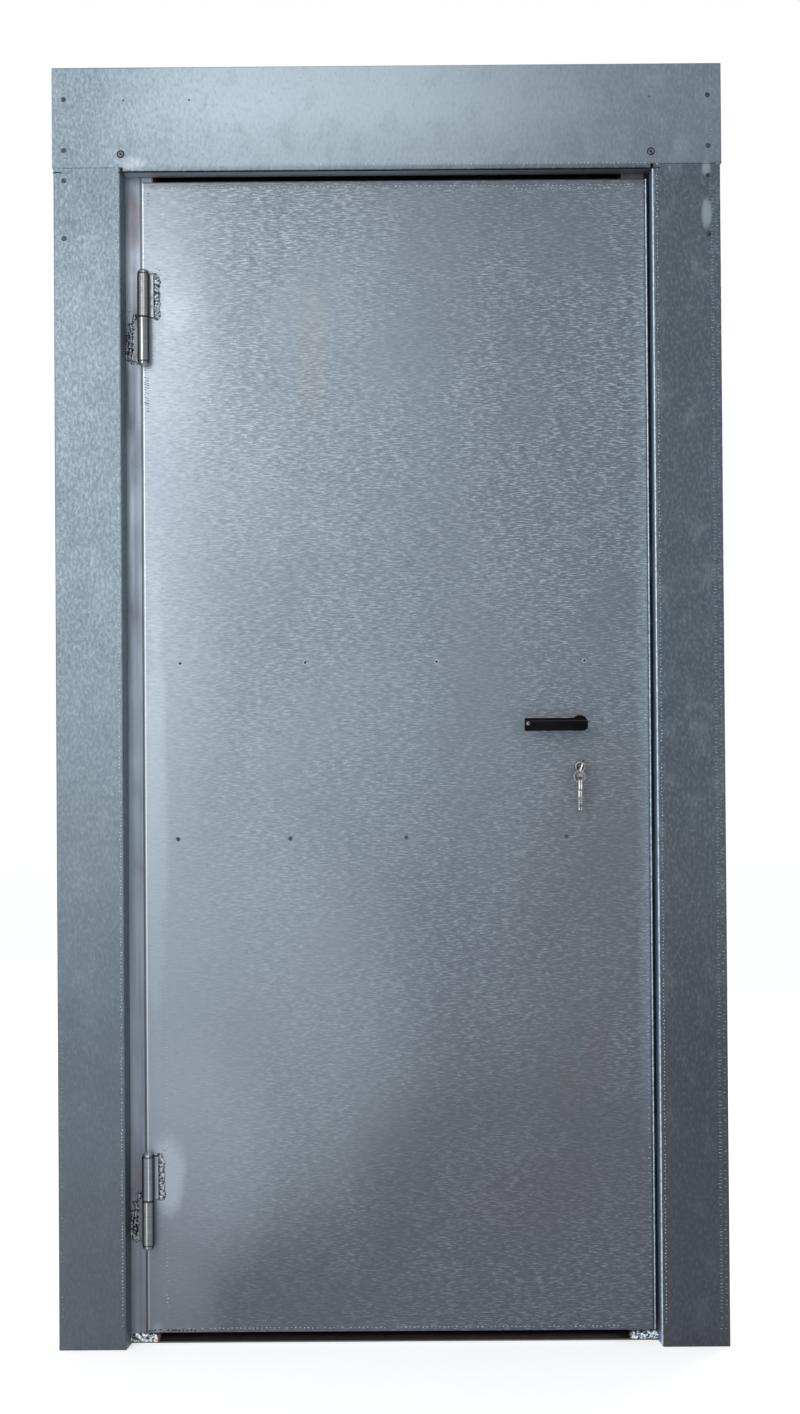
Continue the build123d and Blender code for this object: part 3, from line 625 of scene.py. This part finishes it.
def screw_tree(foot, head, recess):
    """Low domed head on a washer, with a dark recess; Z stands out from the sheet."""
    rim_share, crown_share, recess_share = 0.86, 0.7, 0.42
    seat = 0.4
    g = Growth("screws", washer=2.6, head=2.0, height=1.2, sides=20, turn=FRONT)
    mm = g.vector(MM, MM, MM)
    rim = g.maths("MULTIPLY", g.size("washer"), rim_share)
    washer = g.frustum(g.size("sides"), g.size("washer"), rim, seat + 0.1)
    crown = g.maths("MULTIPLY", g.size("head"), crown_share)
    dome = g.frustum(g.size("sides"), g.size("head"), crown, g.size("height"))
    dome = g.node("GeometryNodeTransform", {"Geometry": dome, "Translation": (0.0, 0.0, seat)})
    socket = g.frustum(6, g.maths("MULTIPLY", g.size("head"), recess_share), 0.0, 0.1)
    lift = g.vector(0.0, 0.0, g.maths("ADD", g.size("height"), seat))
    socket = g.node("GeometryNodeTransform", {"Geometry": socket, "Translation": lift})
    shape = g.tree.nodes.new("GeometryNodeJoinGeometry")
    for part, material in ((washer, foot), (dome, head), (socket, recess)):
        g.tree.links.new(g.painted(part, material), shape.inputs[0])
    g.finish(g.planted(g.start.outputs[0], shape.outputs[0], g.size("turn"), mm))
    return g


def tick_tree(material):
    """Little raised press marks in a row; width runs across the row's X."""
    g = Growth(
        "ticks", pitch=5.5, wide=7.0, tall=1.1, proud=0.25, missing=0.12, turn=FRONT, seed=5)
    points = g.spaced(g.maths("MULTIPLY", g.size("pitch"), MM))
    drift = g.scatter((-0.0008, 0.0, -0.0007), (0.0008, 0.0, 0.0007), g.size("seed"))
    points = g.node("GeometryNodeSetPosition", {"Geometry": points, "Offset": drift})
    mark = g.frustum(4, 0.707, 0.35, 1.0)
    mark = g.node("GeometryNodeTransform", {"Geometry": mark, "Rotation": (0.0, 0.0, math.pi / 4)})
    size = g.vector(
        g.maths("MULTIPLY", g.size("wide"), g.chance(0.0006, 0.00115, 8)),
        g.maths("MULTIPLY", g.size("tall"), g.chance(0.0007, 0.0012, 9)),
        g.maths("MULTIPLY", g.size("proud"), MM),
    )
    kept = g.maths("GREATER_THAN", g.chance(0.0, 1.0, 21), g.size("missing"))
    size = g.node("ShaderNodeVectorMath", {0: size, "Scale": kept}, operation="SCALE")
    g.finish(g.planted(points, mark, g.size("turn"), size), material)
    return g


def bead_tree(material):
    """Weld bead of overlapping ripples along a line."""
    g = Growth("beads", pitch=1.6, width=7.0, height=2.2, wander=0.8, turn=FRONT, seed=7)
    points = g.spaced(g.maths("MULTIPLY", g.size("pitch"), MM))
    reach = g.maths("MULTIPLY", g.size("wander"), MM)
    low = g.maths("MULTIPLY", reach, -1.0)
    sway = g.scatter(g.vector(low, low, low), g.vector(reach, reach, reach), g.size("seed"))
    points = g.node("GeometryNodeSetPosition", {"Geometry": points, "Offset": sway})
    drop = g.node("GeometryNodeMeshUVSphere", {"Segments": 12, "Rings": 8, "Radius": 0.5})
    fill = g.chance(0.0007, 0.0012, 11)
    size = g.vector(
        g.maths("MULTIPLY", g.size("width"), fill),
        g.maths("MULTIPLY", g.size("width"), g.chance(0.0006, 0.0010, 12)),
        g.maths("MULTIPLY", g.size("height"), g.chance(0.0012, 0.0022, 13)),
    )
    drop = g.node("GeometryNodeSetShadeSmooth", {"Geometry": drop})
    g.finish(g.planted(points, drop, g.size("turn"), size), material)
    return g


def spatter_tree(material):
    """Beads of thrown weld metal on and near a line."""
    g = Growth("spatter", pitch=2.0, spread=6.0, size=0.8, seed=17)
    points = g.spaced(g.maths("MULTIPLY", g.size("pitch"), MM))
    reach = g.maths("MULTIPLY", g.size("spread"), MM)
    low = g.maths("MULTIPLY", reach, -1.0)
    throw = g.scatter(g.vector(low, 0.0, low), g.vector(reach, 0.0, reach), g.size("seed"))
    points = g.node("GeometryNodeSetPosition", {"Geometry": points, "Offset": throw})
    drop = g.node("GeometryNodeMeshIcoSphere", {"Radius": 1.0, "Subdivisions": 2})
    drop = g.node("GeometryNodeSetShadeSmooth", {"Geometry": drop})
    grain = g.maths("MULTIPLY", g.size("size"), g.chance(0.0003, 0.0011, 19))
    g.finish(g.planted(points, drop, FRONT, g.vector(grain, grain, grain)), material)
    return g


def dress(material, *names):
    """Give CAD nodes their finish."""
    for name in names:
        mesh = nodes[name].data
        mesh.materials.clear()
        mesh.materials.append(material)


def rows(*pairs):
    """Guide points and lines for separate straight rows."""
    points = [point for pair in pairs for point in pair]
    return points, [(2 * k, 2 * k + 1) for k in range(len(pairs))]


def add_screws():
    """Screws and rivets of the leaf and casings, at their places in the photograph."""
    dark = pressed_steel("screw_steel", srgb(50, 52, 58), srgb(92, 96, 102))
    pit = pressed_steel("screw_recess", srgb(16, 16, 18), srgb(30, 30, 33))
    ring = pressed_steel("ring_steel", srgb(72, 78, 86), srgb(108, 116, 126))
    rim = pressed_steel("rim_steel", srgb(150, 162, 172), srgb(196, 206, 214))
    rimmed = screw_tree(rim, dark, pit)
    sunk = screw_tree(ring, dark, pit)
    domed = screw_tree(dark, dark, pit)
    rivets = screw_tree(pit, ring, pit)
    high_row = [(x, LEAF_FACE, 1126) for x in (-348, -141, 77, 322)]
    low_row = [(x, LEAF_FACE, 835) for x in (-353, -167, 25, 290)]
    merged(
        "leaf_screws", "leaf", "plated_steel",
        rimmed.grow("high_row", high_row, washer=3.7, head=2.7, height=0.6),
        sunk.grow("low_row", low_row, washer=3.8, head=2.7, height=0.6),
    )
    face = CASING_FACE
    outer = [(x, face, z) for x in (-532.5, 530) for z in (2057, 1973, 1923, 1827)]
    ringed = [(-438.5, face, 1966), (436, face, 1964)]
    dimples = [(-434, face, 2055), (434, face, 2055), (443, face, 1938), (-325, face, 2055)]
    merged(
        "casing_screws", "frame", "plated_steel",
        domed.grow("outer", outer, washer=4.4, head=3.2, height=1.6),
        rivets.grow("ringed", ringed, washer=6.6, head=4.9, height=0.7),
        domed.grow("dimples", dimples, washer=1.6, head=1.2, height=0.2),
    )


def lip_tree(material):
    """Rounded fold that runs along a line."""
    g = Growth("lips", radius=1.5, sides=10)
    line = g.node("GeometryNodeMeshToCurve", {"Mesh": g.start.outputs[0]})
    radius = g.maths("MULTIPLY", g.size("radius"), MM)
    ring = g.node(
        "GeometryNodeCurvePrimitiveCircle", {"Resolution": g.size("sides"), "Radius": radius})
    fold = g.node(
        "GeometryNodeCurveToMesh", {"Curve": line, "Profile Curve": ring, "Fill Caps": True})
    g.finish(g.node("GeometryNodeSetShadeSmooth", {"Geometry": fold}), material)
    return g


def add_folds():
    """Folded lips of the leaf's sheet and of the jamb casing beside the lock, bright with a
    painted highlight.
    """
    # Painted highlight: the folds far paler than the sheets they are folded from.
    bright = pressed_steel("fold_painted_highlight", srgb(150, 164, 174), srgb(206, 216, 223))
    fold = pressed_steel("jamb_fold_painted_highlight", srgb(158, 174, 186), srgb(204, 216, 224))
    _, right, low, high = LEAF_EDGES
    x, y = right + 1.2, LEAF_FACE + 1.8
    lip = lip_tree(bright).grow("leaf_lip", *rows(((x, y, low + 1), (x, y, high - 1))))
    merged("leaf_edge_lip", "leaf", "leaf_zinc", lip)
    x, y = INNER_EDGE - 1.4, CASING_FACE + 1.7
    lip = lip_tree(fold).grow("jamb_lip", *rows(((x, y, 4), (x, y, HEAD_FOOT - 1))), radius=1.6)
    merged("jamb_edge_lip", "frame", "casing_zinc", lip)


def marks(tree, y, lines, **sizes):
    """Rows on the sheet at y; each line is given by its two ends as x, z."""
    ends = [[(x, y, z) for x, z in line] for line in lines]
    return tree.grow("marks", *rows(*ends), **sizes)


def add_press_marks():
    """Rows of raised press marks beside the folded edges, and dark ticks, slits and spots."""
    bright = tick_tree(pressed_steel("press_mark_zinc", srgb(150, 164, 174), srgb(184, 196, 204)))
    faint = tick_tree(pressed_steel("press_mark_faint", srgb(98, 112, 124), srgb(132, 148, 160)))
    dark = tick_tree(pressed_steel("press_mark_dark", srgb(16, 18, 22), srgb(40, 44, 50)))

    inner, outer, edge = INNER_EDGE + 5, OUTER_EDGE - 14, OUTER_EDGE - 6
    seam = HEAD_FOOT - 0.6
    merged(
        "casing_press_marks", "frame", "casing_zinc",
        marks(bright, CASING_FACE, (
            ((-inner, 40), (-inner, 1935)),
            ((inner, 40), (inner, 1935)),
        ), pitch=5.6, wide=1.6, tall=1.8),
        marks(faint, CASING_FACE, (
            ((outer, 30), (outer, 1930)),
            ((outer, 1960), (outer, 2100)),
            ((3 - outer, 1960), (3 - outer, 2100)),
        ), pitch=5.6, wide=5.0, tall=1.2),
        marks(faint, CASING_FACE, (
            ((edge, 30), (edge, 1930)),
            ((-edge, 30), (-edge, 1930)),
        ), pitch=6.4, wide=4.0, missing=0.3),
        marks(bright, CASING_FACE, (
            ((-425, HEAD_FOOT + 9), (425, HEAD_FOOT + 9)),
        ), pitch=6.2, wide=2.2, tall=1.2),
        marks(dark, CASING_FACE, (
            ((-549, seam), (-538, seam)),
            ((437, seam), (448, seam)),
            ((-441, seam), (-437, seam)),
        ), pitch=2.0, wide=4.0, tall=2.0, missing=0.0),
    )
    left, right, low, high = LEAF_EDGES
    merged(
        "leaf_press_marks", "leaf", "leaf_zinc",
        marks(bright, LEAF_FACE, (
            ((right - 6, low + 30), (right - 6, high - 20)),
            ((left + 34, low + 20), (left + 34, high - 30)),
        ), pitch=6.0, wide=2.6, missing=0.35),
        marks(bright, LEAF_FACE, (
            ((left + 70, low + 7), (right - 60, low + 7)),
            ((left + 30, high - 10), (right - 20, high - 10)),
            ((right - 220, high - 16), (right - 60, high - 16)),
        ), pitch=7.0, wide=2.4, tall=1.4),
        marks(dark, LEAF_FACE, (
            ((left + 5, 1614), (left + 5, 1556)),
            ((left + 9, 1600), (left + 9, 1545)),
            ((left + 12, 1908), (left + 12, 1884)),
        ), pitch=4.0, wide=4.0, tall=1.0, missing=0.15),
        marks(dark, LEAF_FACE, (
            ((left + 4, low + 4), (left + 22, low + 5)),
            ((left + 34, low + 4), (left + 78, low + 4)),
        ), pitch=3.0, wide=4.0, tall=2.2, missing=0.3),
    )


def add_welds():
    """Weld beads and spatter of the hinges, and beads over the feet of the stiles."""
    beads = bead_tree(weld_metal("hinge_weld", srgb(70, 70, 78), srgb(164, 172, 181)))
    thrown = spatter_tree(weld_metal("thrown_weld", srgb(60, 58, 64), srgb(150, 154, 160)))
    feet = bead_tree(
        weld_metal("foot_weld", srgb(58, 66, 84), srgb(236, 241, 245), (-0.385, 0.385)))
    faces = {"leaf": LEAF_FACE, "frame": STILE_FACE}
    parts = {"leaf": [], "frame": []}

    def lay(tree, body, start, end, **sizes):
        """One run of weld on the body's face, from start to end as x, z."""
        line = [(x, faces[body], z) for x, z in (start, end)]
        parts[body].append(tree.grow("run", *rows(line), **sizes))

    for place in ("upper", "lower"):
        low, high = corners(place + "_hinge_knuckle")
        x = high.x
        lay(
            beads, "leaf", (x + 5, low.z + 2), (x + 5, high.z - 9),
            width=11.0, height=2.0, wander=1.3,
        )
        lay(beads, "leaf", (x - 6, high.z - 6), (x + 4, high.z - 6), width=5.0, height=1.8)
        lay(thrown, "leaf", (x + 5, low.z), (x + 5, high.z), spread=5.0, size=0.9)
        low, high = corners(place + "_hinge_socket")
        x = low.x
        for step, (top, foot) in enumerate(((10.0, 9.0), (-6.0, 13.0), (-24.0, 19.0))):
            start = (x - 2 - 6 * step, low.z + foot)
            end = (x + 1 - 6 * step, high.z + top)
            lay(beads, "frame", start, end, width=7.5, height=2.4, wander=1.4, seed=23 + step)
        lay(beads, "frame", (x - 1, low.z + 15), (x + 6, low.z + 7), width=5.0, height=2.2)
        lay(
            thrown, "frame", (x - 10, low.z + 8), (x - 10, high.z + 14),
            spread=7.0, size=1.0, pitch=1.2,
        )
    for side in (-1, 1):
        for row, z in enumerate((5.5, 9.5, 13.5)):
            lay(
                feet, "frame", (side * 392, z), (side * 436, z),
                width=7.0, height=3.2, wander=1.4, seed=31 + row,
            )
    merged("leaf_hinge_welds", "leaf", "hinge_steel", *parts["leaf"])
    merged("frame_welds", "frame", "hinge_steel", *parts["frame"])


def add_joint_welds():
    """Short beads behind, where the tubes, rails and stiles meet."""
    beads = bead_tree(weld_metal("joint_weld", srgb(66, 66, 72), srgb(160, 165, 172)))
    rails = {
        "leaf": ("leaf_top_tube", "leaf_bottom_tube", "leaf_upper_rail", "leaf_lower_rail"),
        "frame": ("head_rail", "threshold"),
    }
    for body, names in rails.items():
        seams = []
        for low, high in map(corners, names):
            seams += [((x, high.y, low.z + 5), (x, high.y, high.z - 3)) for x in (low.x, high.x)]
        if body == "leaf":
            low, high = corners("leaf_stiffener")
            seams += [((low.x + 3, high.y, z), (high.x - 3, high.y, z)) for z in (low.z, high.z)]
        mesh = beads.grow("seams", *rows(*seams), width=6.0, height=2.4, wander=0.7, turn=BACK)
        merged(body + "_joint_welds", body, "hinge_steel", mesh)


def finish_nodes():
    """Finishes of all the CAD nodes."""
    casing = casing_zinc()
    dress(leaf_zinc(), "leaf_sheet")
    dress(casing, "left_jamb_casing", "right_jamb_casing", "head_casing")
    dress(casing, "left_corner_gusset", "right_corner_gusset", "lock_pocket")
    dress(stile_steel(), "hinge_stile", "lock_stile")
    dress(angle_steel(), "head_rail", "threshold")
    dress(
        tube_steel(), "leaf_hinge_tube", "leaf_lock_tube", "leaf_top_tube", "leaf_bottom_tube",
        "leaf_upper_rail", "leaf_lower_rail", "leaf_stiffener",
    )
    ring_inset = 0.0075
    joints = [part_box(place + "_hinge_knuckle")[0][2] for place in ("upper", "lower")]
    tops = [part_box(place + "_hinge_knuckle")[1][2] - ring_inset for place in ("upper", "lower")]
    feet = [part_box(place + "_hinge_socket")[0][2] + ring_inset for place in ("upper", "lower")]
    light, dark = srgb(120, 124, 130), srgb(104, 108, 114)
    knuckle = turned_steel(
        "hinge_knuckle_steel", light, dark, srgb(142, 150, 159), 0.26, 0.18, joints + tops)
    socket = turned_steel(
        "hinge_socket_steel", light, dark, srgb(92, 97, 104), 0.28, -0.17, joints + feet)
    dress(knuckle, "upper_hinge_knuckle", "lower_hinge_knuckle")
    dress(knuckle, "upper_hinge_pin", "lower_hinge_pin")
    dress(socket, "upper_hinge_socket", "lower_hinge_socket")
    dress(black_lever(), "outside_lever", "inside_lever", "outside_rose", "inside_rose")
    plated = bright_plate("plated_steel", srgb(176, 178, 180), srgb(150, 150, 152), 0.36)
    dress(plated, "strike_plate", "lock_faceplate", "lock_case")
    dress(plated, "latch_bolt", "dead_bolt", "spindle")
    # Painted shade: the washers near black for the shade in the hinge joints.
    washer = bright_plate("washer_steel", srgb(28, 28, 32), srgb(20, 20, 22), 0.5)
    dress(washer, "upper_hinge_washer", "lower_hinge_washer")
    for piece, name, tone, dim, roughness in (
        ("cylinder_body", "cylinder_nickel", (176, 178, 182), (110, 112, 116), 0.25),
        ("key_plug", "plug_nickel", (34, 34, 38), (84, 84, 88), 0.3),
        ("key", "key_nickel", (244, 244, 242), (206, 206, 206), 0.16),
        ("spare_key_left", "spare_nickel", (250, 250, 250), (222, 222, 222), 0.16),
        ("spare_key_right", "dull_nickel", (236, 236, 236), (150, 150, 152), 0.2),
        ("key_ring", "ring_nickel", (120, 120, 124), (170, 170, 172), 0.25),
    ):
        dress(bright_plate(name, srgb(*tone), srgb(*dim), roughness), piece)
    for node in nodes.values():
        node.data.polygons.foreach_set("use_smooth", [False] * len(node.data.polygons))


# Share of white that the floor gives of itself; lamps and world give the rest
FLOOR_GLOW = 0.52


def seen_rays(tree):
    """Rays of the camera, and those that gloss and glass send out."""
    path = tree.nodes.new("ShaderNodeLightPath")
    seen = path.outputs["Is Camera Ray"]
    for ray in ("Is Glossy Ray", "Is Transmission Ray"):
        either = tree.nodes.new("ShaderNodeMath")
        either.operation = "MAXIMUM"
        tree.links.new(seen, either.inputs[0])
        tree.links.new(path.outputs[ray], either.inputs[1])
        seen = either.outputs[0]
    return seen


def build_stage():
    """Floor that is white to the camera and in reflections and keeps the shadow."""
    floor = bpy.data.objects.new("floor", bpy.data.meshes.new("floor"))
    half = 12.0
    square = [(-half, -half, 0), (half, -half, 0), (half, half, 0), (-half, half, 0)]
    floor.data.from_pydata(square, [], [(0, 1, 2, 3)])
    bpy.context.scene.collection.objects.link(floor)
    r = Recipe("floor_pale", 0.9)
    dust = r.noise((1.5, 1.5, 1.5), 3.0)
    colour = r.mix(dust, (0.80, 0.80, 0.80, 1.0), (0.84, 0.84, 0.84, 1.0))
    r.feed(r.shader.inputs["Base Color"], colour)
    tree = r.tree
    glow = tree.nodes.new("ShaderNodeEmission")
    glow.inputs["Color"].default_value = (FLOOR_GLOW, FLOOR_GLOW, FLOOR_GLOW, 1.0)
    both = tree.nodes.new("ShaderNodeAddShader")
    tree.links.new(seen_rays(tree), glow.inputs["Strength"])
    tree.links.new(r.shader.outputs[0], both.inputs[0])
    tree.links.new(glow.outputs[0], both.inputs[1])
    tree.links.new(both.outputs[0], tree.nodes["Material Output"].inputs["Surface"])
    floor.data.materials.append(r.material)


def build_world(fill):
    """Even fill light on the object, and white to the camera and in reflections."""
    world = bpy.data.worlds.new("studio")
    bpy.context.scene.world = world
    world.use_nodes = True
    tree = world.node_tree
    shown = tree.nodes["Background"]
    shown.inputs["Color"].default_value = (1.0, 1.0, 1.0, 1.0)
    shown.inputs["Strength"].default_value = 1.0
    light = tree.nodes.new("ShaderNodeBackground")
    light.inputs["Color"].default_value = (0.93, 0.97, 1.0, 1.0)
    light.inputs["Strength"].default_value = fill
    blend = tree.nodes.new("ShaderNodeMixShader")
    tree.links.new(seen_rays(tree), blend.inputs[0])
    tree.links.new(light.outputs[0], blend.inputs[1])
    tree.links.new(shown.outputs[0], blend.inputs[2])
    tree.links.new(blend.outputs[0], tree.nodes["World Output"].inputs["Surface"])


def area_light(name, place, target, size, power, tint=(1.0, 1.0, 1.0)):
    """A rectangular lamp at a place, turned to its target."""
    data = bpy.data.lights.new(name, "AREA")
    data.shape = "RECTANGLE"
    data.size, data.size_y = size
    data.energy = power
    data.color = tint
    lamp = bpy.data.objects.new(name, data)
    lamp.location = place
    lamp.rotation_euler = (Vector(target) - Vector(place)).to_track_quat("-Z", "Y").to_euler()
    bpy.context.scene.collection.objects.link(lamp)


def build_lights():
    """Soft light from the front left and from behind."""
    build_world(0.55)
    area_light(
        "key_light", place=(-1.6, -3.2, 2.1), target=(-0.1, 0.0, 1.3), size=(1.4, 2.2),
        power=52.0, tint=(1.0, 0.99, 0.97),
    )
    area_light(
        "back_light", place=(2.0, 3.2, 2.6), target=(0.0, 0.0, 1.0), size=(2.0, 2.0), power=60.0)


def build_camera():
    """Camera of the photograph: yaw, pitch and roll from a level look along +Y."""
    look = Matrix.Rotation(-CAMERA_ROLL, 3, "Y") @ Matrix.Rotation(-CAMERA_PITCH, 3, "X")
    look = look @ Matrix.Rotation(CAMERA_YAW, 3, "Z")
    right, ahead, up = (look.inverted() @ Vector(v) for v in ((1, 0, 0), (0, 1, 0), (0, 0, 1)))
    turn = Matrix((right, up, -ahead)).transposed().to_4x4()
    data = bpy.data.cameras.new("camera")
    data.sensor_fit = "HORIZONTAL"
    data.sensor_width = SENSOR_WIDTH
    data.lens = SENSOR_WIDTH * FOCAL_PIXELS / PHOTO_WIDTH
    data.clip_end = 50.0
    camera = bpy.data.objects.new("camera", data)
    camera.matrix_world = Matrix.Translation(CAMERA_PLACE) @ turn
    bpy.context.scene.collection.objects.link(camera)
    bpy.context.scene.camera = camera


bpy.context.scene.view_settings.view_transform = "Standard"
build_camera()
build_lights()
build_stage()
finish_nodes()
add_screws()
add_folds()
add_press_marks()
add_welds()
add_joint_welds()
